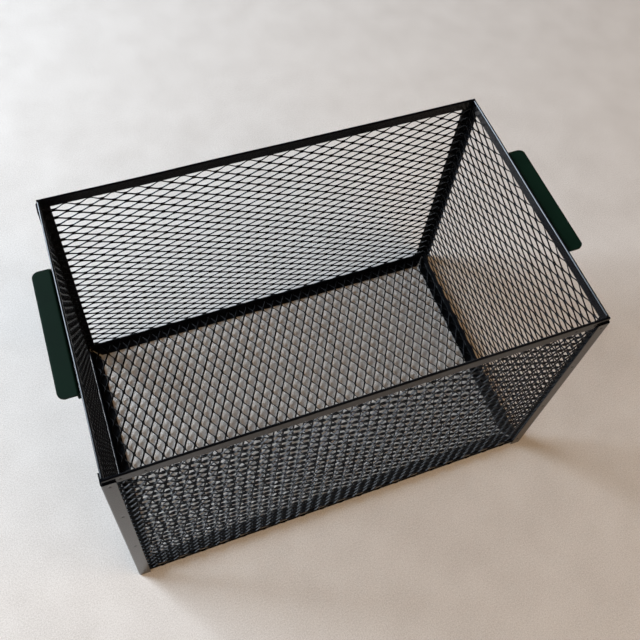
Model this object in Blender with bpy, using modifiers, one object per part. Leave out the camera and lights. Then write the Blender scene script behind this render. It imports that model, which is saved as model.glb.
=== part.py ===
"""Mesh desktop file organizer: an open box of expanded metal in a frame of folded sheet-steel strips.

Metres, +Z up. X runs along the long side, -Y is the front, and the origin lies on the desk under the
middle of the box. Every strip is drawn as the line of its section, run along its length as an open
surface, and thickened to its sheet. The layers of a wall are stacked inwards from the corner posts.
The mesh fills the space between post and base angle, and is pinched flatter at its top edge, where it
runs between the two leaves of the rim.
"""
import math

import bmesh
import bpy
from mathutils import Matrix

# Overall size of the box, over its corner posts and its rims. The handles reach past it.
WIDTH = 0.360
DEPTH = 0.220
HEIGHT = 0.240

# Clearance between pieces that touch.
GAP = 0.0003

# Corner posts: L strips, outermost, each leaf with its free top corner rounded.
POST_LEAF = 0.0095
POST_SHEET = 0.0008
POST_BEND = 0.0014
POST_CORNER = 0.0025
POST_DROP = 0.0015

# Rims: strips folded over the top edge of the mesh. RIM_DROP is the height of both leaves.
RIM_DROP = 0.0098
RIM_SHEET = 0.0007

# Base angles: L strips inside the foot of the walls, with an upright leaf and a level leaf that carries
# the floor.
BASE_HEIGHT = 0.0075
BASE_WIDTH = 0.0095
BASE_SHEET = 0.0010
BASE_BEND = 0.0006
BASE_MITRE_GAP = 0.0004

# Expanded metal. Its strands stand on edge, so the sheet is deeper than a strand is wide. The pitches
# are the spacing of the knuckles along the diamonds' long way and short way. The lean is how far each
# edge of a strand is pushed along the short way as the slit sheet is stretched. The foot is how far the
# wall panels stay above the desk, and the ramp is the height over which they are pinched below a rim.
MESH_DEPTH = 0.0020
PINCHED_DEPTH = 0.0010
PINCH_RAMP = 0.0050
LONG_PITCH = 0.045
SHORT_PITCH = 0.025
STRAND_WIDTH = 0.0016
STRAND_LEAN = 0.0004
PANEL_FOOT = 0.0006

# Tab handles: a level tab at the middle of each short side, with a flange down the rim's outer leaf.
HANDLE_LENGTH = 0.098
HANDLE_REACH = 0.0138
HANDLE_SHEET = 0.0018
HANDLE_BEND = 0.0026
HANDLE_FLANGE = 0.0080
HANDLE_CORNER = 0.0052
HANDLE_DROP = 0.0018

# Insets of the layers from the outer face of the posts.
RIM_OUTER = POST_SHEET + GAP
PINCHED_OUTER = RIM_OUTER + RIM_SHEET + GAP
PINCHED_INNER = PINCHED_OUTER + PINCHED_DEPTH
RIM_INNER = PINCHED_INNER + GAP + RIM_SHEET
MESH_OUTER = POST_SHEET + GAP
MESH_INNER = MESH_OUTER + MESH_DEPTH
PANEL_INNER = max(MESH_INNER, PINCHED_INNER)
BASE_OUTER = MESH_INNER + GAP
BASE_INNER = BASE_OUTER + BASE_SHEET

ARC_STEPS = 6
FACET_ANGLE = math.radians(40)


def clear_scene():
    """Empties the scene of its objects."""
    for thing in list(bpy.data.objects):
        bpy.data.objects.remove(thing, do_unlink=True)


def finish(name, colour, roughness, metallic):
    """Makes a Principled material of one plain colour."""
    material = bpy.data.materials.new(name)
    material.use_nodes = True
    shader = material.node_tree.nodes["Principled BSDF"]
    shader.inputs["Base Color"].default_value = (*colour, 1)
    shader.inputs["Roughness"].default_value = roughness
    shader.inputs["Metallic"].default_value = metallic
    material.diffuse_color = (*colour, 1)
    return material


def arc(centre, radius, start, end):
    """Points of a round stretch of a section, from one angle to another in degrees."""
    angles = [math.radians(start + (end - start) * step / ARC_STEPS) for step in range(ARC_STEPS + 1)]
    return [(centre[0] + radius * math.cos(a), centre[1] + radius * math.sin(a)) for a in angles]


def leaf_ramp(start, end, radius):
    """Points along a straight leaf from its free end, closer together where a corner is rounded."""
    length = math.dist(start, end)
    steps = [radius * (1 - math.cos(math.pi / 2 * step / ARC_STEPS)) for step in range(ARC_STEPS + 1)]
    return [tuple(s + (e - s) * step / length for s, e in zip(start, end)) for step in steps]


def rounding(distance, radius):
    """How far a rounded corner holds back the sheet's end, at a distance from the sheet's free edge."""
    if distance >= radius:
        return 0
    return radius - math.sqrt(radius ** 2 - (radius - distance) ** 2)


def folded_strip(name, section, ends, sheet, matrix, material, collection):
    """Runs a section along local Z between the ends given for each of its points, and thickens it.

    The section lies in local XY, and the sheet is laid on its left-hand side as it is followed.
    """
    mesh = bpy.data.meshes.new(name)
    shape = bmesh.new()
    low = [shape.verts.new((x, y, end[0])) for (x, y), end in zip(section, ends)]
    high = [shape.verts.new((x, y, end[1])) for (x, y), end in zip(section, ends)]
    for here in range(len(section) - 1):
        shape.faces.new((low[here], low[here + 1], high[here + 1], high[here]))
    shape.to_mesh(mesh)
    shape.free()
    strip = bpy.data.objects.new(name, mesh)
    strip.matrix_world = matrix
    mesh.materials.append(material)
    mesh.shade_smooth()
    mesh.set_sharp_from_angle(angle=FACET_ANGLE)
    thicken = strip.modifiers.new("sheet", "SOLIDIFY")
    thicken.thickness = sheet
    thicken.offset = -1
    collection.objects.link(strip)
    return strip


def distances(section):
    """Distance of each point along the section, from its first point."""
    run = [0]
    for before, after in zip(section, section[1:]):
        run.append(run[-1] + math.dist(before, after))
    return run


def post(name, side, face, quarters, material, collection):
    """One corner post, drawn for the front left corner and turned by quarters to its own.

    side is -1 at the left and 1 at the right, and face is -1 at the front and 1 behind.
    """
    near = POST_LEAF - POST_CORNER
    section = leaf_ramp((0, POST_LEAF), (0, near), POST_CORNER)
    section += arc((POST_BEND, POST_BEND), POST_BEND, 180, 270)
    section += reversed(leaf_ramp((POST_LEAF, 0), (near, 0), POST_CORNER))
    run = distances(section)
    top = HEIGHT - POST_DROP
    ends = [(0, top - rounding(min(at, run[-1] - at), POST_CORNER)) for at in run]
    place = Matrix.Translation((side * WIDTH / 2, face * DEPTH / 2, 0))
    turn = Matrix.Rotation(quarters * math.pi / 2, 4, "Z")
    return folded_strip(name, section, ends, POST_SHEET, place @ turn, material, collection)


def wall_frame(turn, half):
    """Frame of one wall: X inwards from the outer plane of the posts, Y up, Z along the wall."""
    axes = Matrix(((0, 0, 1, 0), (1, 0, 0, 0), (0, 1, 0, 0), (0, 0, 0, 1)))
    return Matrix.Rotation(turn, 4, "Z") @ Matrix.Translation((0, -half, 0)) @ axes


def rim(name, turn, half, reach, material, collection):
    """One top rim: inner leaf, half-round crest and outer leaf over the top edge of the mesh."""
    radius = (RIM_INNER - RIM_OUTER) / 2
    crest = (RIM_OUTER + radius, HEIGHT - radius)
    foot = HEIGHT - RIM_DROP
    section = [(RIM_INNER, foot)] + arc(crest, radius, 0, 180) + [(RIM_OUTER, foot)]
    ends = [(-reach, reach)] * len(section)
    return folded_strip(name, section, ends, RIM_SHEET, wall_frame(turn, half), material, collection)


def base_angle(name, turn, half, span, material, collection):
    """One base angle, drawn along its inner faces and mitred to its neighbours."""
    bend = (BASE_INNER + BASE_BEND, BASE_SHEET + BASE_BEND)
    section = [(BASE_OUTER + BASE_WIDTH, BASE_SHEET)]
    section += arc(bend, BASE_BEND, 270, 180)
    section += [(BASE_INNER, BASE_HEIGHT)]
    ends = [(inset + BASE_MITRE_GAP - span, span - inset - BASE_MITRE_GAP) for inset, height in section]
    return folded_strip(name, section, ends, BASE_SHEET, wall_frame(turn, half), material, collection)


def handle(name, turn, material, collection):
    """One tab handle: a flange down the rim's outer leaf, a bend, and a level tab that reaches out."""
    seat = RIM_OUTER - GAP
    top = HEIGHT - HANDLE_DROP
    bend = (seat - HANDLE_BEND, top - HANDLE_BEND)
    flange_corner = HANDLE_SHEET
    tip = seat - HANDLE_REACH
    section = leaf_ramp((seat, top - HANDLE_FLANGE), (seat, bend[1]), flange_corner)
    section += arc(bend, HANDLE_BEND, 0, 90)
    section += reversed(leaf_ramp((tip, top), (bend[0], top), HANDLE_CORNER))
    run = distances(section)
    ends = []
    for at in run:
        reach = HANDLE_LENGTH / 2 - rounding(at, flange_corner) - rounding(run[-1] - at, HANDLE_CORNER)
        ends.append((-reach, reach))
    return folded_strip(name, section, ends, HANDLE_SHEET, wall_frame(turn, WIDTH / 2), material, collection)


def expanded_panel(name, length, height, matrix, material, collection):
    """One flat panel of expanded metal, long way along local X, short way along local Y.

    A square net is turned by 45 degrees, trimmed along its knuckles to a whole number of diamonds,
    and stretched to the panel. Its edges become strands, which lean along the short way.
    """
    columns = max(1, round(length / LONG_PITCH))
    rows = max(1, round(height / SHORT_PITCH))
    net = bmesh.new()
    cells = columns + rows
    bmesh.ops.create_grid(net, x_segments=cells, y_segments=cells, size=cells / math.sqrt(8))
    bmesh.ops.rotate(net, verts=net.verts, matrix=Matrix.Rotation(math.pi / 4, 3, "Z"))
    for normal, reach in (((1, 0, 0), columns), ((-1, 0, 0), columns), ((0, 1, 0), rows), ((0, -1, 0), rows)):
        edge = [part * reach / 2 for part in normal]
        everything = net.verts[:] + net.edges[:] + net.faces[:]
        bmesh.ops.bisect_plane(net, geom=everything, dist=0.001, plane_co=edge, plane_no=normal,
                               clear_outer=True)
    side_trim = STRAND_WIDTH
    top_trim = max(STRAND_WIDTH, 2 * STRAND_LEAN)
    bmesh.ops.scale(net, verts=net.verts, vec=((length - side_trim) / columns, (height - top_trim) / rows, 1))
    mesh = bpy.data.meshes.new(name)
    net.to_mesh(mesh)
    net.free()
    panel = bpy.data.objects.new(name, mesh)
    collection.objects.link(panel)
    strands = panel.modifiers.new("strands", "WIREFRAME")
    strands.thickness = STRAND_WIDTH
    strands.use_boundary = True
    strands.use_even_offset = True
    strands.use_relative_offset = False
    bpy.context.view_layer.update()
    solid = bpy.data.meshes.new_from_object(panel.evaluated_get(bpy.context.evaluated_depsgraph_get()))
    panel.modifiers.clear()
    half = max(vertex.co.z for vertex in solid.vertices)
    deepen = Matrix.Scale(MESH_DEPTH / (2 * half), 4, (0, 0, 1))
    lean = Matrix.Identity(4)
    lean[1][2] = 2 * STRAND_LEAN / MESH_DEPTH
    solid.transform(lean @ deepen)
    panel.data = solid
    solid.name = name
    bpy.data.meshes.remove(mesh)
    solid.materials.append(material)
    panel.matrix_world = matrix
    return panel


def pinch(solid, end):
    """Presses a wall panel flatter towards its top edge, fully from the end height upwards."""
    start = end - PINCH_RAMP
    shape = bmesh.new()
    shape.from_mesh(solid)
    for height in (start, end):
        everything = shape.verts[:] + shape.edges[:] + shape.faces[:]
        bmesh.ops.bisect_plane(shape, geom=everything, dist=1e-7, plane_co=(0, height, 0), plane_no=(0, 1, 0))
    bmesh.ops.triangulate(shape, faces=shape.faces)
    inwards = (PINCHED_OUTER + PINCHED_INNER - MESH_OUTER - MESH_INNER) / 2
    for vertex in shape.verts:
        share = min(max((vertex.co.y - start) / PINCH_RAMP, 0), 1)
        vertex.co.z *= 1 - share * (1 - PINCHED_DEPTH / MESH_DEPTH)
        vertex.co.z -= share * inwards
    shape.to_mesh(solid)
    shape.free()


def wall_panel(name, turn, half, reach, material, collection):
    """One wall of expanded metal, from just above the desk to the middle of the rim's crest."""
    top = HEIGHT - (RIM_INNER - RIM_OUTER) / 2
    middle = (top + PANEL_FOOT) / 2
    stand = Matrix.Translation((0, -half + (MESH_OUTER + MESH_INNER) / 2, middle)) @ Matrix.Rotation(
        math.pi / 2, 4, "X")
    matrix = Matrix.Rotation(turn, 4, "Z") @ stand
    panel = expanded_panel(name, 2 * reach, top - PANEL_FOOT, matrix, material, collection)
    pinch(panel.data, HEIGHT - RIM_DROP - GAP - middle)
    return panel


def floor_panel(material, collection):
    """The floor of expanded metal, lying on the base angles, long way from front to back."""
    margin = BASE_INNER + BASE_BEND + GAP
    height = BASE_SHEET + GAP + MESH_DEPTH / 2
    matrix = Matrix.Translation((0, 0, height)) @ Matrix.Rotation(math.pi / 2, 4, "Z")
    return expanded_panel("mesh_floor", DEPTH - 2 * margin, WIDTH - 2 * margin, matrix, material, collection)


def build():
    """Builds the whole organizer."""
    clear_scene()
    collection = bpy.data.collections.new("mesh_desktop_file_organizer")
    bpy.context.scene.collection.children.link(collection)
    frame_black = finish("frame_black", (0.018, 0.018, 0.020), 0.42, 0.0)
    mesh_black = finish("mesh_black", (0.012, 0.013, 0.016), 0.38, 0.0)
    handle_green = finish("handle_green", (0.012, 0.030, 0.020), 0.55, 0.0)

    corners = (("front_left", -1, -1), ("front_right", 1, -1), ("back_right", 1, 1), ("back_left", -1, 1))
    for quarters, (place, side, face) in enumerate(corners):
        post(f"post_{place}", side, face, quarters, frame_black, collection)

    long_walls = (("front", 0), ("back", math.pi))
    short_walls = (("right", math.pi / 2), ("left", -math.pi / 2))
    for place, turn in long_walls:
        rim(f"rim_{place}", turn, DEPTH / 2, WIDTH / 2 - RIM_INNER - GAP, frame_black, collection)
        base_angle(f"base_{place}", turn, DEPTH / 2, WIDTH / 2, frame_black, collection)
        wall_panel(f"mesh_{place}", turn, DEPTH / 2, WIDTH / 2 - PINCHED_OUTER, mesh_black, collection)
    for place, turn in short_walls:
        rim(f"rim_{place}", turn, WIDTH / 2, DEPTH / 2 - PANEL_INNER - GAP, frame_black, collection)
        base_angle(f"base_{place}", turn, WIDTH / 2, DEPTH / 2, frame_black, collection)
        wall_panel(f"mesh_{place}", turn, WIDTH / 2, DEPTH / 2 - PANEL_INNER - GAP, mesh_black, collection)
        handle(f"handle_{place}", turn, handle_green, collection)
    floor_panel(mesh_black, collection)


build()
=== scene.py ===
import math

import bmesh
import bpy
import numpy as np
from mathutils import Matrix, Vector


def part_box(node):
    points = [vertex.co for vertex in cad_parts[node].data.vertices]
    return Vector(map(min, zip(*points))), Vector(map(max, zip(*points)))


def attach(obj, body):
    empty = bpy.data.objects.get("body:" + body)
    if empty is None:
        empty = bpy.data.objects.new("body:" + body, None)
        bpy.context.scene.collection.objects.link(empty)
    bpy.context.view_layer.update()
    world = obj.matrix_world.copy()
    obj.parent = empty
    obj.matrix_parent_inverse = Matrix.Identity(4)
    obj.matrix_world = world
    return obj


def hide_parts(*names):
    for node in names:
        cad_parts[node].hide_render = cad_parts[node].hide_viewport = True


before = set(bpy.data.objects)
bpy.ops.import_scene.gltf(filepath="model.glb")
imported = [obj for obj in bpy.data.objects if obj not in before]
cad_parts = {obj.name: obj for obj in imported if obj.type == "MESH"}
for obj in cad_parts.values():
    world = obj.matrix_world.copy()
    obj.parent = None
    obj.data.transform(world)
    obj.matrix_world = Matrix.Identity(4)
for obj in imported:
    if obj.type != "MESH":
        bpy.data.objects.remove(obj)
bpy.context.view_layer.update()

# The desk and the light round the box. The camera stands where the photograph was taken from: high in
# front, to the left of the middle, looking down into the open top.
DESK_SIZE = 6.0
DESK_DROP = 0.0002
PHOTO_SIZE = 640
CAMERA_PLACE = (-0.148275, -0.288783, 0.741762)
CAMERA_TURN = (33.8107, -4.4387, -20.3524)
FOCAL_PIXELS = 839.33
CENTRE_PIXEL = (319.55, 240.79)
SENSOR_WIDTH = 36.0
NEAR_CLIP = 0.01

camera_data = bpy.data.cameras.new("camera")
camera_data.sensor_fit = "HORIZONTAL"
camera_data.sensor_width = SENSOR_WIDTH
camera_data.lens = FOCAL_PIXELS / PHOTO_SIZE * SENSOR_WIDTH
camera_data.shift_x = (PHOTO_SIZE / 2 - CENTRE_PIXEL[0]) / PHOTO_SIZE
camera_data.shift_y = (CENTRE_PIXEL[1] - PHOTO_SIZE / 2) / PHOTO_SIZE
camera_data.clip_start = NEAR_CLIP
camera = bpy.data.objects.new("camera", camera_data)
camera.location = CAMERA_PLACE
camera.rotation_euler = [math.radians(turn) for turn in CAMERA_TURN]
bpy.context.scene.collection.objects.link(camera)
bpy.context.scene.camera = camera
bpy.context.scene.view_settings.view_transform = "Standard"


class Value:
    """A shader value: one output socket. Arithmetic on it adds Math nodes to its tree."""

    def __init__(self, nodes, socket):
        self.nodes = nodes
        self.socket = socket

    def maths(self, operation, first, second):
        return self.nodes.node("ShaderNodeMath", {"operation": operation}, {0: first, 1: second})

    def or_else(self, other):
        return self.maths("MAXIMUM", self, other)

    def __add__(self, other):
        return self.maths("ADD", self, other)

    def __mul__(self, other):
        return self.maths("MULTIPLY", self, other)

    __radd__ = __add__
    __rmul__ = __mul__


class Nodes:
    """A node tree. Every node but its output and its surface comes from its one method."""

    def __init__(self, tree):
        self.tree = tree

    def node(self, kind, settings=None, inputs=None, output=0):
        """Adds a node: its settings first, then the values or links of its sockets."""
        made = self.tree.nodes.new(kind)
        for name, value in (settings or {}).items():
            if name == "stops":
                self.set_stops(made.color_ramp, value)
            else:
                setattr(made, name, value)
        for name, value in (inputs or {}).items():
            self.feed(made.inputs[name], value)
        return Value(self, made.outputs[output])

    def set_stops(self, ramp, stops):
        """Sets a ramp's stops, each a position and a grey level or a colour."""
        while len(ramp.elements) < len(stops):
            ramp.elements.new(1)
        for element, (position, level) in zip(ramp.elements, stops):
            colour = (level, level, level) if isinstance(level, (int, float)) else level
            element.position = position
            element.color = (*colour, 1)

    def feed(self, socket, value):
        """Links a value to a socket, or sets the socket to a number or a colour."""
        if isinstance(value, Value):
            self.tree.links.new(value.socket, socket)
        elif isinstance(value, (tuple, list)) and socket.type == "RGBA":
            socket.default_value = (*value, 1)
        else:
            socket.default_value = value


class Finish(Nodes):
    """One material: a Principled surface, and the nodes that feed it."""

    def __init__(self, name, **surface):
        self.material = bpy.data.materials.new(name)
        self.material.use_nodes = True
        super().__init__(self.material.node_tree)
        self.surface = self.tree.nodes["Principled BSDF"]
        self.place = self.node("ShaderNodeTexCoord", output="Object")
        for socket, value in surface.items():
            self.surface.inputs[socket.replace("_", " ")].default_value = value

    def noise(self, scale, detail=2.0, roughness=0.5):
        """Noise in the part's own space. The scale is in waves per metre."""
        return self.node("ShaderNodeTexNoise", {"noise_dimensions": "3D"},
                         {"Vector": self.place, "Scale": scale, "Detail": detail, "Roughness": roughness})

    def ramp(self, value, *stops):
        return self.node("ShaderNodeValToRGB", {"stops": stops}, {0: value})

    def mix(self, factor, first, second):
        """Mixes two colours."""
        return self.node("ShaderNodeMix", {"data_type": "RGBA"}, {0: factor, 6: first, 7: second}, output=2)

    def bump(self, height, depth, strength=1.0):
        """Bumps the surface by a height from 0 to 1, depth metres high."""
        normal = self.node("ShaderNodeBump", None,
                           {"Height": height, "Distance": depth, "Strength": strength})
        self.feed(self.surface.inputs["Normal"], normal)

    def paint(self, colour=None, roughness=None):
        """Feeds the surface's colour and roughness."""
        if colour is not None:
            self.feed(self.surface.inputs["Base Color"], colour)
        if roughness is not None:
            self.feed(self.surface.inputs["Roughness"], roughness)


def desk_finish():
    """Pale board, faintly mottled."""
    finish = Finish("desk_board", Roughness=0.6, Specular_IOR_Level=0.3)
    mottle = finish.noise(25, 3.0) * 0.15 + finish.noise(900, 4.0, 0.8) * 0.85
    shade = finish.ramp(mottle, (0.38, (0.520, 0.480, 0.440)), (0.50, (0.640, 0.600, 0.560)),
                        (0.62, (0.740, 0.705, 0.665)))
    finish.paint(colour=shade)
    finish.bump(finish.noise(900, 3.0), 0.0001, 0.3)
    return finish.material


desk_mesh = bpy.data.meshes.new("desk")
desk_shape = bmesh.new()
bmesh.ops.create_grid(desk_shape, x_segments=2, y_segments=2, size=DESK_SIZE / 2)
desk_shape.to_mesh(desk_mesh)
desk_shape.free()
desk = bpy.data.objects.new("desk", desk_mesh)
desk.location.z = -DESK_DROP
desk_mesh.materials.append(desk_finish())
bpy.context.scene.collection.objects.link(desk)

LAMPS = (
    # name, place, size, watts, colour, seen in reflections
    ("window_light", (-1.58, 1.15, 1.05), (1.08, 1.15), 94.0, (0.75, 0.87, 1.00), True),
    ("side_light", (-2.40, -0.80, 1.50), (3.0, 2.0), 32.0, (1.00, 0.95, 0.88), True),
    ("room_light", (1.30, -1.60, 2.00), (2.4, 2.4), 40.0, (1.00, 0.62, 0.28), False),
)
LAMP_AIM = Vector((0, 0, 0.1))
for name, place, size, watts, colour, mirrored in LAMPS:
    lamp_data = bpy.data.lights.new(name, "AREA")
    lamp_data.shape = "RECTANGLE"
    lamp_data.size, lamp_data.size_y = size
    lamp_data.energy = watts
    lamp_data.color = colour
    lamp = bpy.data.objects.new(name, lamp_data)
    lamp.location = place
    lamp.visible_glossy = mirrored
    lamp.rotation_euler = (LAMP_AIM - Vector(place)).to_track_quat("-Z", "Y").to_euler()
    bpy.context.scene.collection.objects.link(lamp)

# The room: a pale wall up to a little above the horizon, and a dim ceiling. It is seen directly and in
# reflections, and the desk and the box are lit by the lamps and a weak even sky. The two levels are
# sines of the angle above the horizon.
WALL_TOP = 0.12
CEILING_FROM = 0.32
WALL_TONE = 0.52
CEILING_TONE = (0.038, 0.046, 0.058)
SKY_TONE = (0.60, 0.75, 1.0)
SKY_STRENGTH = 0.06
world = bpy.data.worlds.new("room")
bpy.context.scene.world = world
world.use_nodes = True
world.node_tree.nodes.remove(world.node_tree.nodes["Background"])
room = Nodes(world.node_tree)
heading = room.node("ShaderNodeTexCoord", output="Generated")
height = room.node("ShaderNodeSeparateXYZ", None, {0: heading}, output="Z")
tone = room.node("ShaderNodeValToRGB", {"stops": ((WALL_TOP, WALL_TONE), (CEILING_FROM, CEILING_TONE))},
                 {0: height})
walls = room.node("ShaderNodeBackground", None, {"Color": tone})
sky = room.node("ShaderNodeBackground", None, {"Color": SKY_TONE, "Strength": SKY_STRENGTH})
camera_ray, glossy_ray, clear_ray = [room.node("ShaderNodeLightPath", output=f"Is {kind} Ray")
                                     for kind in ("Camera", "Glossy", "Transmission")]
seen = camera_ray.or_else(glossy_ray).or_else(clear_ray)
either = room.node("ShaderNodeMixShader", None, {0: seen, 1: sky, 2: walls})
room.feed(world.node_tree.nodes["World Output"].inputs["Surface"], either)


# Corner posts: L strips of thin steel, folded, outermost at each corner, spot welded to the rims, the mesh
# and the base angles, and powder coated black in one go with them. Each leaf's free top corner is
# rounded, and each weld leaves a shallow dimple.
POST_SHEET = 0.0008
POST_BEND = 0.0014
POST_CORNER = 0.0025
POST_CORNER_REACH = 0.006
POST_WELDS = (0.0120, 0.0888, 0.1654, 0.2297)
POST_WELD_INSET = 0.0056
POST_WELD_SCATTER = 0.0006
POST_WELD_SEED = 3
WELD_RADIUS = 0.0016
WELD_DEPTH = 0.0004
WELD_STEP = 0.0004
DIMPLE_STATIONS = 9
STRIP_STEP = 0.004
ROUND_STEPS = 6
EDGE_STEPS = 4
CUT_EDGE = 6.0
LEAF_STEP = 0.0005
FOLD_ANGLE = 40.0
COAT_IOR = 1.4
PALE_GAIN = 1.6
PALE_LIFT = 0.001


def powder_coat(name, colour, roughness, sheen):
    """Black powder coat: nearly one colour, with a fine peel and slow patches of gloss.

    The sheen is the coat's specular level.
    """
    finish = Finish(name, IOR=COAT_IOR, Specular_IOR_Level=sheen)
    patches = finish.noise(35, 3.0)
    grain = finish.noise(700, 2.0)
    pale = tuple(PALE_GAIN * part + PALE_LIFT for part in colour)
    finish.paint(colour=finish.mix(finish.ramp(patches, (0.35, 0.0), (0.75, 1.0)), colour, pale),
                 roughness=roughness + 0.06 * patches + 0.03 * grain)
    finish.bump(grain, 0.00006, 0.35)
    return finish.material


def arc(centre, radius, start, end):
    """Points of a round stretch of a section, between two angles in degrees."""
    turns = np.radians(np.linspace(start, end, ROUND_STEPS + 1))
    return [(centre[0] + radius * math.cos(turn), centre[1] + radius * math.sin(turn)) for turn in turns]


def leaf(start, end):
    """Points of a flat stretch of a section, without its last."""
    steps = max(1, round(math.dist(start, end) / LEAF_STEP))
    return [tuple(first + (last - first) * step / steps for first, last in zip(start, end))
            for step in range(steps)]


def rounding(distance, radius):
    """How far a rounded corner holds back a sheet's end, at a distance from the sheet's free edge."""
    near = np.clip(distance, 0, radius)
    return radius - np.sqrt(radius ** 2 - (radius - near) ** 2)


def edge_curve(edge):
    """Across and out parts of a sheet's free edge. An edge of 2 is round, and a higher one is squarer."""
    turn = np.linspace(0, math.pi, EDGE_STEPS + 2)[1:-1]
    return np.sign(np.cos(turn)) * np.abs(np.cos(turn)) ** (2 / edge), np.sin(turn) ** (2 / edge)


def strip_outline(line, sheet, edge):
    """Closed outline of a bent strip's section: one face, a free edge, the other face, a free edge."""
    line = np.array(line)
    ahead = np.gradient(line, axis=0)
    ahead /= np.linalg.norm(ahead, axis=1)[:, None]
    left = np.stack((-ahead[:, 1], ahead[:, 0]), 1)
    across, out = edge_curve(edge)
    far = line[-1] + sheet / 2 * (np.outer(across, left[-1]) + np.outer(out, ahead[-1]))
    near = line[0] - sheet / 2 * (np.outer(across, left[0]) + np.outer(out, ahead[0]))
    return np.concatenate((line + sheet / 2 * left, far, (line - sheet / 2 * left)[::-1], near))


def edge_distances(line, sheet, edge):
    """For each point of the outline, how far it is along the section from either free edge."""
    runs = np.concatenate(([0], np.cumsum(np.linalg.norm(np.diff(np.array(line), axis=0), axis=1))))
    back = runs[-1] - runs
    rim = edge_curve(edge)[1] * sheet / 2
    first = np.concatenate((runs, runs[-1] + rim, runs[::-1], -rim))
    last = np.concatenate((back, -rim, back[::-1], back[0] + rim))
    return first + sheet / 2, last + sheet / 2


def strip_stations(start, end, welds=()):
    """Places along a strip where its section stands: even, and close together round each weld.

    They are rounded to a micrometre, so that two which fall together count once.
    """
    even = np.linspace(start, end, round((end - start) / STRIP_STEP) + 1)
    fine = [weld + WELD_RADIUS * part for weld in welds for part in np.linspace(-1, 1, DIMPLE_STATIONS)]
    places = np.unique(np.round(np.concatenate((even, fine)), 6))
    keep = np.concatenate(([True], np.diff(places) > WELD_STEP / 2))
    return places[keep & (places >= start) & (places <= end)]


def dimple(across, along, weld):
    """Depth of a weld's dimple at points of a leaf. The weld is a place across and along."""
    reach = np.hypot(across - weld[0], along - weld[1]) / WELD_RADIUS
    near = np.clip(1 - reach, 0, 1)
    return WELD_DEPTH * near * near * (3 - 2 * near)


def strip_piece(name, grid, matrix, material):
    """Makes a strip from its sections, a grid (station, point, 3), and puts it in its place."""
    stations, sides = grid.shape[:2]
    line = sides // 2 - EDGE_STEPS
    index = np.arange(stations * sides).reshape(stations, sides)
    after = np.roll(index, -1, axis=1)
    quads = np.stack((index[:-1], index[1:], after[1:], after[:-1]), 2).reshape(-1, 4).tolist()
    for end in (index[0], index[-1]):
        left, right = end[:line], end[line + EDGE_STEPS:2 * line + EDGE_STEPS][::-1]
        quads += [[left[at], left[at + 1], right[at + 1], right[at]] for at in range(line - 1)]
        quads.append(list(end[line - 1:line + EDGE_STEPS + 1]))
        quads.append(list(end[2 * line + EDGE_STEPS - 1:]) + [end[0]])
    mesh = bpy.data.meshes.new(name)
    mesh.from_pydata(grid.reshape(-1, 3).tolist(), [], [[int(corner) for corner in quad] for quad in quads])
    mesh.transform(matrix)
    shape = bmesh.new()
    shape.from_mesh(mesh)
    bmesh.ops.recalc_face_normals(shape, faces=shape.faces)
    shape.to_mesh(mesh)
    shape.free()
    mesh.shade_smooth()
    mesh.set_sharp_from_angle(angle=math.radians(FOLD_ANGLE))
    mesh.materials.append(material)
    piece = bpy.data.objects.new(name, mesh)
    bpy.context.scene.collection.objects.link(piece)
    return piece


post_black = powder_coat("post_powder_coat", (0.0020, 0.0022, 0.0032), 0.15, 0.6)
weld_places = np.random.default_rng(POST_WELD_SEED)
for quarters, corner in enumerate(("front_left", "front_right", "back_right", "back_left")):
    low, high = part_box(f"post_{corner}")
    length, top, middle = high.x - low.x, high.z, POST_SHEET / 2
    line = (leaf((middle, length - middle), (middle, POST_BEND))
            + arc((POST_BEND, POST_BEND), POST_BEND - middle, 180, 270)
            + leaf((POST_BEND, middle), (length - middle, middle)) + [(length - middle, middle)])
    outline = strip_outline(line, POST_SHEET, CUT_EDGE)
    free_edge = np.minimum(*edge_distances(line, POST_SHEET, CUT_EDGE))
    stations = strip_stations(0, top, POST_WELDS)
    grid = np.zeros((len(stations), len(outline), 3))
    grid[:, :, :2] = outline
    grid[:, :, 2] = stations[:, None]
    for height in POST_WELDS:
        for axis in range(2):
            weld = (POST_WELD_INSET + weld_places.uniform(-POST_WELD_SCATTER, POST_WELD_SCATTER), height)
            leaf_points = (grid[:, :, axis] < POST_BEND) & (grid[:, :, 1 - axis] > POST_BEND)
            depth = dimple(grid[:, :, 1 - axis], grid[:, :, 2], weld)
            grid[:, :, axis] += np.where(leaf_points, depth, 0)
    start = top - POST_CORNER_REACH
    share = np.clip((grid[:, :, 2] - start) / POST_CORNER_REACH, 0, 1)
    grid[:, :, 2] -= share * rounding(free_edge, POST_CORNER)
    place = Matrix.Translation((high.x if "right" in corner else low.x,
                                high.y if "back" in corner else low.y, 0))
    turn = Matrix.Rotation(quarters * math.pi / 2, 4, "Z")
    piece = strip_piece(f"post_{corner}_folded", grid, place @ turn, post_black)
    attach(piece, "root")
    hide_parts(f"post_{corner}")


# Rims: strips folded over the top edge of the mesh and squeezed on to it, so that the inner leaf leans to
# the mesh at its foot. The crest slopes to both sides of a ridge. The rims are spot welded through, and
# the marks show near the ends. The side rims get a copy of the same black coat with a higher specular
# level, which paints a brighter highlight on their crests, and the front and back rims a copy with a lower
# level, which paints a dimmer reflection of the desk on them.
RIM_OUTER = 0.0011
RIM_WIDTH = 0.0020
RIM_SHEET = 0.0006
RIM_TUCK = 0.0004
RIM_END_GAP = 0.0002
RIM_RIDGE = 0.0007
RIM_SLOPES = (0.0004, 0.0007)
RIM_EASE = 0.00025
RIM_WAVE = 0.00012
RIM_WAVE_DOWN = 55
RIM_WAVE_IN = 37
RIM_WELDS = (0.011, 0.0265)
RIM_WELD_HEIGHT = 0.2352
WALLS = {"front": 0, "right": 1, "back": 2, "left": 3}


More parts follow.
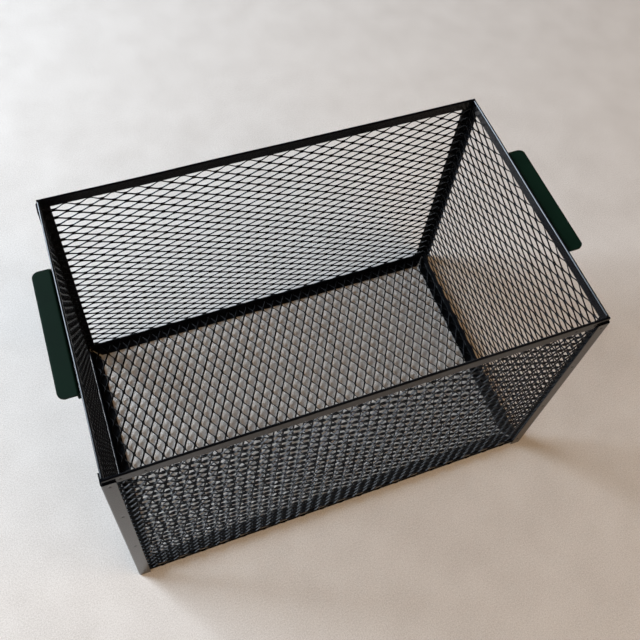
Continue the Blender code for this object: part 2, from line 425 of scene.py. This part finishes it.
def wall_frame(wall):
    """Frame of one wall: X inwards from the outer plane of the posts, Y up, Z along the wall."""
    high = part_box("post_back_right")[1]
    half = high.y if wall in ("front", "back") else high.x
    axes = Matrix(((0, 0, 1, 0), (1, 0, 0, 0), (0, 1, 0, 0), (0, 0, 0, 1)))
    return Matrix.Rotation(WALLS[wall] * math.pi / 2, 4, "Z") @ Matrix.Translation((0, -half, 0)) @ axes


def wall_reach(node):
    """How far a wall's piece reaches each way along its wall."""
    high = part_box(node)[1]
    return high.x if node.endswith(("front", "back")) else high.y


def eased(corners, ease):
    """A bent line through corners, each one eased by a short curve."""
    points = [corners[0]]
    for before, corner, after in zip(corners, corners[1:], corners[2:]):
        before, corner, after = np.array(before), np.array(corner), np.array(after)
        start = corner + (before - corner) * ease / np.linalg.norm(before - corner)
        end = corner + (after - corner) * ease / np.linalg.norm(after - corner)
        points += leaf(points[-1], tuple(start))[1:]
        points += [tuple((1 - part) ** 2 * start + 2 * part * (1 - part) * corner + part ** 2 * end)
                   for part in np.linspace(0, 1, EDGE_STEPS + 1)]
    return points + leaf(points[-1], corners[-1])[1:] + [corners[-1]]


# Two copies of one black coat: the lower specular level paints a dimmer reflection on the front and back
# rims, and the higher one paints a brighter highlight on the side rims' crests.
front_back_rim_dimmer_reflection_black = powder_coat("strip_powder_coat", (0.0016, 0.0019, 0.0030), 0.15, 0.25)
side_rim_brighter_highlight_black = powder_coat("side_rim_powder_coat", (0.0016, 0.0019, 0.0030), 0.15, 0.42)
for wall in WALLS:
    low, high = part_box(f"rim_{wall}")
    reach, middle = wall_reach(f"rim_{wall}"), RIM_SHEET / 2
    if wall in ("front", "back"):
        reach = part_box("rim_right")[1].x - RIM_END_GAP
    outer, inner = RIM_OUTER + middle, RIM_OUTER + RIM_WIDTH - middle
    foot, ridge = low.z + middle, high.z - middle
    line = eased([(inner - RIM_TUCK, foot), (inner, ridge - RIM_SLOPES[1]), (outer + RIM_RIDGE, ridge),
                  (outer, ridge - RIM_SLOPES[0]), (outer, foot)], RIM_EASE)
    outline = strip_outline(line, RIM_SHEET, CUT_EDGE)
    welds = [side * (reach - inset) for side in (-1, 1) for inset in RIM_WELDS]
    stations = strip_stations(-reach, reach, welds)
    grid = np.zeros((len(stations), len(outline), 3))
    grid[:, :, :2] = outline
    grid[:, :, 2] = stations[:, None]
    for along in welds:
        outer_leaf = grid[:, :, 0] < RIM_OUTER + RIM_SHEET
        depth = dimple(grid[:, :, 1], grid[:, :, 2], (RIM_WELD_HEIGHT, along))
        grid[:, :, 0] += np.where(outer_leaf, depth, 0)
    grid[:, :, 1] -= RIM_WAVE * (1 + np.sin(grid[:, :, 2] * RIM_WAVE_DOWN + WALLS[wall]))
    grid[:, :, 0] += RIM_WAVE * (1 + np.sin(grid[:, :, 2] * RIM_WAVE_IN + 2 * WALLS[wall]))
    piece = strip_piece(f"rim_{wall}_folded", grid, wall_frame(wall),
                        front_back_rim_dimmer_reflection_black if wall in ("front", "back") else side_rim_brighter_highlight_black)
    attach(piece, "root")
    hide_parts(f"rim_{wall}")


# Base angles: L strips inside the foot of the walls, mitred at the corners. The upright leaf is welded to
# the wall, and the level leaf carries the floor.
BASE_SHEET = 0.0010
BASE_BEND = 0.0011
base_black = powder_coat("base_powder_coat", (0.0016, 0.0018, 0.0026), 0.32, 0.3)
for wall in WALLS:
    node = f"base_{wall}"
    low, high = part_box(node)
    post_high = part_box("post_back_right")[1]
    axis = 1 if wall in ("front", "back") else 0
    outer = post_high[axis] - max(abs(low[axis]), abs(high[axis]))
    inner = post_high[axis] - min(abs(low[axis]), abs(high[axis]))
    reach, middle = wall_reach(node), BASE_SHEET / 2
    bend = (outer + middle + BASE_BEND, middle + BASE_BEND)
    line = (leaf((inner - middle, middle), (bend[0], middle)) + arc(bend, BASE_BEND, 270, 180)
            + leaf((outer + middle, bend[1]), (outer + middle, high.z - middle))
            + [(outer + middle, high.z - middle)])
    outline = strip_outline(line, BASE_SHEET, CUT_EDGE)
    share = np.linspace(-1, 1, round(2 * reach / STRIP_STEP) + 1)
    grid = np.zeros((len(share), len(outline), 3))
    grid[:, :, :2] = outline
    grid[:, :, 2] = np.outer(share, reach + outer - outline[:, 0])
    piece = strip_piece(f"{node}_folded", grid, wall_frame(wall), base_black)
    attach(piece, "root")
    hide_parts(node)


# Expanded metal: black-coated sheet that was slit in rows and stretched, so that every strand is a
# narrow ribbon which leans out of the sheet, and two ribbons stay joined side by side at each knuckle.
# The walls are one strip, 64 diamonds round, bent at the corners inside the posts.
WALL_CENTRE = 0.00213
RIM_CENTRE = 0.0020
RIM_SQUEEZE = 0.30
SQUEEZE_FROM = 0.224
SQUEEZE_TO = 0.2300
CORNER_RADIUS = 0.0035
WALL_FOOT = 0.0016
WALL_EDGE = 0.0014
WALL_SWAY = (0.0004, 0.0005)
SWAY_WAVES = 5
SWAY_SEED = 7
SWAY_TURNS = (2, 9)
SWAY_RISE = 30
EDGE_WIDTH = 0.0018
EDGE_TILT = -50.0
EDGE_STATIONS = 200
WALL_LONG_PITCHES = 64
WALL_SHORT_PITCH = 0.00991
WALL_SHORT_PITCHES = 24
STRAND_WIDTH = 0.00115
STRAND_SHEET = 0.00062
STRAND_EDGE = 0.00011
STRAND_TILT = -70.0
WALL_KNUCKLE = 0.0020
WALL_BEND = (0.17, 0.12)
END_QUADS = ((7, 0, 1, 2), (6, 7, 2, 3), (5, 6, 3, 4))


def strand_section(width, sheet):
    """The eight corners of a strand's section, across and out, from its middle.

    Corners 0 and 1 are the strand's upper edge, and 4 and 5 are its lower edge. END_QUADS join the
    corners into the faces that close a strand's end.
    """
    wide, thick, edge = width / 2, sheet / 2, STRAND_EDGE
    return ((wide, thick - edge), (wide, edge - thick), (wide - edge, -thick), (edge - wide, -thick),
            (-wide, edge - thick), (-wide, thick - edge), (edge - wide, thick), (wide - edge, thick))


def expanded_sheet(pitches, knuckle, bend, first, last, strands, width, sheet, tilt):
    """Strands of an expanded sheet between two knuckle columns, in the sheet's own frame.

    The bend says how far along a strand, and how far up, it straightens after a knuckle. Gives points
    (along, up, through) and quads. Neighbouring strands share their points at a knuckle.
    """
    long_pitch, short_pitch = pitches
    half = long_pitch / 2
    bond = knuckle / long_pitch
    free = 1 - 2 * bond
    steps = np.array([0, bond, bond + bend[0] * free, 1 - bond - bend[0] * free, 1 - bond, 1])
    rises = np.array([0, 0, bend[1], 1 - bend[1], 1, 1])
    spans = last - first
    per_span = len(steps) - 1
    count = spans * per_span + 1
    station = np.arange(count)
    span = np.minimum(station // per_span, spans - 1)
    inside = station - span * per_span
    along = (first + span + steps[inside]) * half
    lean = np.array((math.cos(tilt), math.sin(tilt)))
    face = np.array((-math.sin(tilt), math.cos(tilt)))
    section = strand_section(width, sheet)
    sides = len(section)
    points = np.zeros((strands, count, sides, 3))
    index = np.arange(strands * count * sides).reshape(strands, count, sides)
    quads = []
    for row in range(strands):
        rising = (first + span + row) % 2 == 0
        rise = np.where(rising, rises[inside], 1 - rises[inside])
        middle = np.outer(1 - 2 * rise, lean) * width / 2
        middle[:, 0] += (row + rise) * short_pitch / 2
        for corner, (across, out) in enumerate(section):
            points[row, :, corner, 0] = along
            points[row, :, corner, 1:] = middle + across * lean + out * face
        low, high = rise == 0, rise == 1
        if row > 0:
            index[row, low, 4] = index[row - 1, low, 1]
            index[row, low, 5] = index[row - 1, low, 0]
        for side in range(sides):
            keep = np.ones(count - 1, bool)
            if side == 4 and row > 0:
                keep = ~(low[:-1] & low[1:])
            if side == 0 and row < strands - 1:
                keep = ~(high[:-1] & high[1:])
            at = np.nonzero(keep)[0]
            following = (side + 1) % sides
            quads.append(np.stack((index[row, at, side], index[row, at + 1, side],
                                   index[row, at + 1, following], index[row, at, following]), 1))
        for end, order in ((0, 1), (-1, -1)):
            for quad in END_QUADS:
                quads.append(index[row, end, list(quad)[::order]][None, :])
    return points.reshape(-1, 3), np.concatenate(quads)


def edge_ribbon(start, end, up, width, tilt, steps):
    """The straight margin of a sheet, uncut, leaning like the strands: points and quads as above."""
    lean = np.array((math.cos(tilt), math.sin(tilt)))
    face = np.array((-math.sin(tilt), math.cos(tilt)))
    along = np.linspace(start, end, steps)
    section = strand_section(width, STRAND_SHEET)
    sides = len(section)
    points = np.zeros((steps, sides, 3))
    for corner, (across, out) in enumerate(section):
        points[:, corner, 0] = along
        points[:, corner, 1:] = across * lean + out * face
    points[:, :, 1] += up
    index = np.arange(steps * sides).reshape(steps, sides)
    after = np.roll(index, -1, axis=1)
    quads = [np.stack((index[:-1, side], index[1:, side], after[1:, side], after[:-1, side]), 1)
             for side in range(sides)]
    for end in (index[0], index[-1][::-1]):
        quads.append(np.array([end[list(quad)] for quad in END_QUADS]))
    return points.reshape(-1, 3), np.concatenate(quads)


def drift(points, around, sway, waves, seed):
    """Slow unevenness of a stretched sheet, in its own plane, from a few seeded waves."""
    rng = np.random.default_rng(seed)
    moved = points.copy()
    for axis, reach in enumerate(sway):
        for _ in range(waves):
            turns = rng.integers(*SWAY_TURNS)
            rise = rng.uniform(-SWAY_RISE, SWAY_RISE)
            phase = rng.uniform(0, 2 * math.pi)
            wave = np.sin(2 * math.pi * turns * points[:, 0] / around + rise * points[:, 1] + phase)
            moved[:, axis] += wave * reach / waves
    return moved


def sheet_piece(name, points, quads, material):
    """Makes one visible piece of expanded metal from placed points and quads."""
    used, order = np.unique(quads, return_inverse=True)
    mesh = bpy.data.meshes.new(name)
    mesh.from_pydata(points[used].tolist(), [], order.reshape(-1, 4).tolist())
    shape = bmesh.new()
    shape.from_mesh(mesh)
    bmesh.ops.recalc_face_normals(shape, faces=shape.faces)
    shape.to_mesh(mesh)
    shape.free()
    mesh.shade_smooth()
    mesh.materials.append(material)
    piece = bpy.data.objects.new(name, mesh)
    bpy.context.scene.collection.objects.link(piece)
    return piece


def round_the_walls(points):
    """Bends a strip (along, up, through) round the four walls. Along is 0 at the front wall's middle.

    The front wall is walked in two halves, so there are five straight runs and four bends between them.
    Gives the placed points and the length of the whole way round.
    """
    low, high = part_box("post_front_left")[0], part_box("post_back_right")[1]
    wide = high.x - low.x - 2 * WALL_CENTRE
    deep = high.y - low.y - 2 * WALL_CENTRE
    radius = CORNER_RADIUS
    bend = radius * math.pi / 2
    runs = (wide / 2 - radius, deep - 2 * radius, wide - 2 * radius, deep - 2 * radius, wide / 2 - radius)
    starts = (Vector((0, -deep / 2)), Vector((wide / 2, radius - deep / 2)),
              Vector((wide / 2 - radius, deep / 2)), Vector((-wide / 2, deep / 2 - radius)),
              Vector((radius - wide / 2, -deep / 2)))
    length = sum(runs) + 4 * bend
    along = np.mod(points[:, 0], length)
    placed = np.zeros_like(points)
    placed[:, 2] = points[:, 1]
    begin = 0.0
    for wall, (run, start) in enumerate(zip(runs, starts)):
        heading = wall * math.pi / 2
        ahead = Vector((math.cos(heading), math.sin(heading)))
        inward = Vector((-math.sin(heading), math.cos(heading)))
        on_run = (along >= begin) & (along < begin + run)
        step = along[on_run] - begin
        for axis in range(2):
            placed[on_run, axis] = start[axis] + ahead[axis] * step + inward[axis] * points[on_run, 2]
        begin += run
        if wall == len(WALLS):
            break
        on_bend = (along >= begin) & (along < begin + bend)
        angle = (along[on_bend] - begin) / radius
        reach = radius - points[on_bend, 2]
        centre = start + ahead * run + inward * radius
        for axis in range(2):
            placed[on_bend, axis] = (centre[axis] + ahead[axis] * reach * np.sin(angle)
                                     - inward[axis] * reach * np.cos(angle))
        begin += bend
    return placed, length


mesh_black = powder_coat("mesh_powder_coat", (0.0018, 0.0019, 0.0024), 0.18, 0.3)
wall_length = round_the_walls(np.zeros((1, 3)))[1]
wall_long_pitch = wall_length / WALL_LONG_PITCHES
post_low, post_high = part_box("post_front_left")[0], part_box("post_back_right")[1]

# The strip is cut into its four pieces at knuckle columns, each the nearest to the middle of a corner's
# bend. The last cut is the first one again, a whole way round.
half_front = (post_high.x - post_low.x) / 2 - WALL_CENTRE - CORNER_RADIUS + CORNER_RADIUS * math.pi / 4
side = wall_length / 2 - 2 * half_front
seams = (-half_front, half_front, half_front + side, 3 * half_front + side,
         3 * half_front + 2 * side)
columns = [round(seam / (wall_long_pitch / 2)) for seam in seams]
columns[-1] = columns[0] + 2 * WALL_LONG_PITCHES
for wall, first, last in zip(("front", "right", "back", "left"), columns, columns[1:]):
    points, quads = expanded_sheet((wall_long_pitch, WALL_SHORT_PITCH), WALL_KNUCKLE, WALL_BEND, first, last,
                                   2 * WALL_SHORT_PITCHES, STRAND_WIDTH, STRAND_SHEET,
                                   math.radians(STRAND_TILT))
    points[:, 1] += WALL_FOOT
    points = drift(points, wall_length, WALL_SWAY, SWAY_WAVES, SWAY_SEED)
    margin, margin_quads = edge_ribbon(points[:, 0].min(), points[:, 0].max(), WALL_EDGE, EDGE_WIDTH,
                                       math.radians(EDGE_TILT), EDGE_STATIONS)
    quads = np.concatenate((quads, margin_quads + len(points)))
    points = np.concatenate((points, margin))
    squeeze = np.clip((points[:, 1] - SQUEEZE_FROM) / (SQUEEZE_TO - SQUEEZE_FROM), 0, 1)
    points[:, 2] *= 1 - (1 - RIM_SQUEEZE) * squeeze
    points[:, 2] += (RIM_CENTRE - WALL_CENTRE) * squeeze
    placed = round_the_walls(points)[0]
    piece = sheet_piece(f"expanded_wall_{wall}", placed, quads, mesh_black)
    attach(piece, "root")
    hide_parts(f"mesh_{wall}")

# The floor is a flat sheet of the same metal, its diamonds running from front to back, laid on the
# base angles and welded to them.
FLOOR_LONG_PITCHES = 12
FLOOR_SHORT_PITCHES = 36
FLOOR_STRAND_WIDTH = 0.0020
FLOOR_STRAND_SHEET = 0.0009
FLOOR_TILT = -60.0
FLOOR_KNUCKLE = 0.0020
FLOOR_BEND = (0.12, 0.09)
FLOOR_SETTLE = 0.0002
floor_black = powder_coat("floor_powder_coat", (0.0018, 0.0018, 0.0020), 0.25, 0.12)
low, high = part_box("mesh_floor")
floor_pitches = ((high.y - low.y) / FLOOR_LONG_PITCHES, (high.x - low.x) / FLOOR_SHORT_PITCHES)
points, quads = expanded_sheet(floor_pitches, FLOOR_KNUCKLE, FLOOR_BEND, 0, 2 * FLOOR_LONG_PITCHES,
                               2 * FLOOR_SHORT_PITCHES, FLOOR_STRAND_WIDTH, FLOOR_STRAND_SHEET,
                               math.radians(FLOOR_TILT))
points[:, 2] += low.z - points[:, 2].min() - FLOOR_SETTLE
placed = np.stack((low.x + points[:, 1], low.y + points[:, 0], points[:, 2]), 1)
floor_sheet = sheet_piece("expanded_floor", placed, quads, floor_black)
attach(floor_sheet, "root")
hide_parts("mesh_floor")


# Tab handles: plates of thicker sheet, folded, with a flange welded to the rim's outer leaf, their edges
# and corners rounded, and painted dark green.
HANDLE_SHEET = 0.0018
HANDLE_BEND = 0.0011
HANDLE_CORNER = 0.0052
HANDLE_EDGE = 0.0004
HANDLE_EDGE_STEPS = 2
HANDLE_EDGE_ANGLE = 60.0
HANDLE_STATIONS = 41
ROUND_EDGE = 2.5


def handle_paint():
    """Dark green paint, matt, with slow patches."""
    finish = Finish("handle_paint", IOR=COAT_IOR, Specular_IOR_Level=0.17)
    patches = finish.noise(60, 3.0)
    finish.paint(colour=finish.mix(finish.ramp(patches, (0.3, 0.0), (0.75, 1.0)), (0.0012, 0.0088, 0.0042),
                                   (0.0018, 0.0118, 0.0056)),
                 roughness=0.68 + 0.1 * patches)
    finish.bump(finish.noise(800, 2.0), 0.00005, 0.3)
    return finish.material


handle_green = handle_paint()
for wall in ("left", "right"):
    node = f"handle_{wall}"
    low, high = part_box(node)
    half, reach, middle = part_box("post_back_right")[1].x, high.y, HANDLE_SHEET / 2
    seat = half - min(abs(low.x), abs(high.x)) - middle
    tip = half - max(abs(low.x), abs(high.x)) + middle
    bend = (seat - HANDLE_BEND, high.z - middle - HANDLE_BEND)
    line = (leaf((seat, low.z + middle), (seat, bend[1])) + arc(bend, HANDLE_BEND, 0, 90)
            + leaf((bend[0], high.z - middle), (tip, high.z - middle)) + [(tip, high.z - middle)])
    outline = strip_outline(line, HANDLE_SHEET, ROUND_EDGE)
    from_flange, from_tip = edge_distances(line, HANDLE_SHEET, ROUND_EDGE)
    ends = reach - rounding(from_flange, HANDLE_SHEET) - rounding(from_tip, HANDLE_CORNER)
    share = np.linspace(-1, 1, HANDLE_STATIONS)
    grid = np.zeros((len(share), len(outline), 3))
    grid[:, :, :2] = outline
    grid[:, :, 2] = np.outer(share, ends)
    piece = strip_piece(f"{node}_folded", grid, wall_frame(wall), handle_green)
    softened = piece.modifiers.new("rounded_edges", "BEVEL")
    softened.width = HANDLE_EDGE
    softened.segments = HANDLE_EDGE_STEPS
    softened.limit_method = "ANGLE"
    softened.angle_limit = math.radians(HANDLE_EDGE_ANGLE)
    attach(piece, "root")
    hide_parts(node)
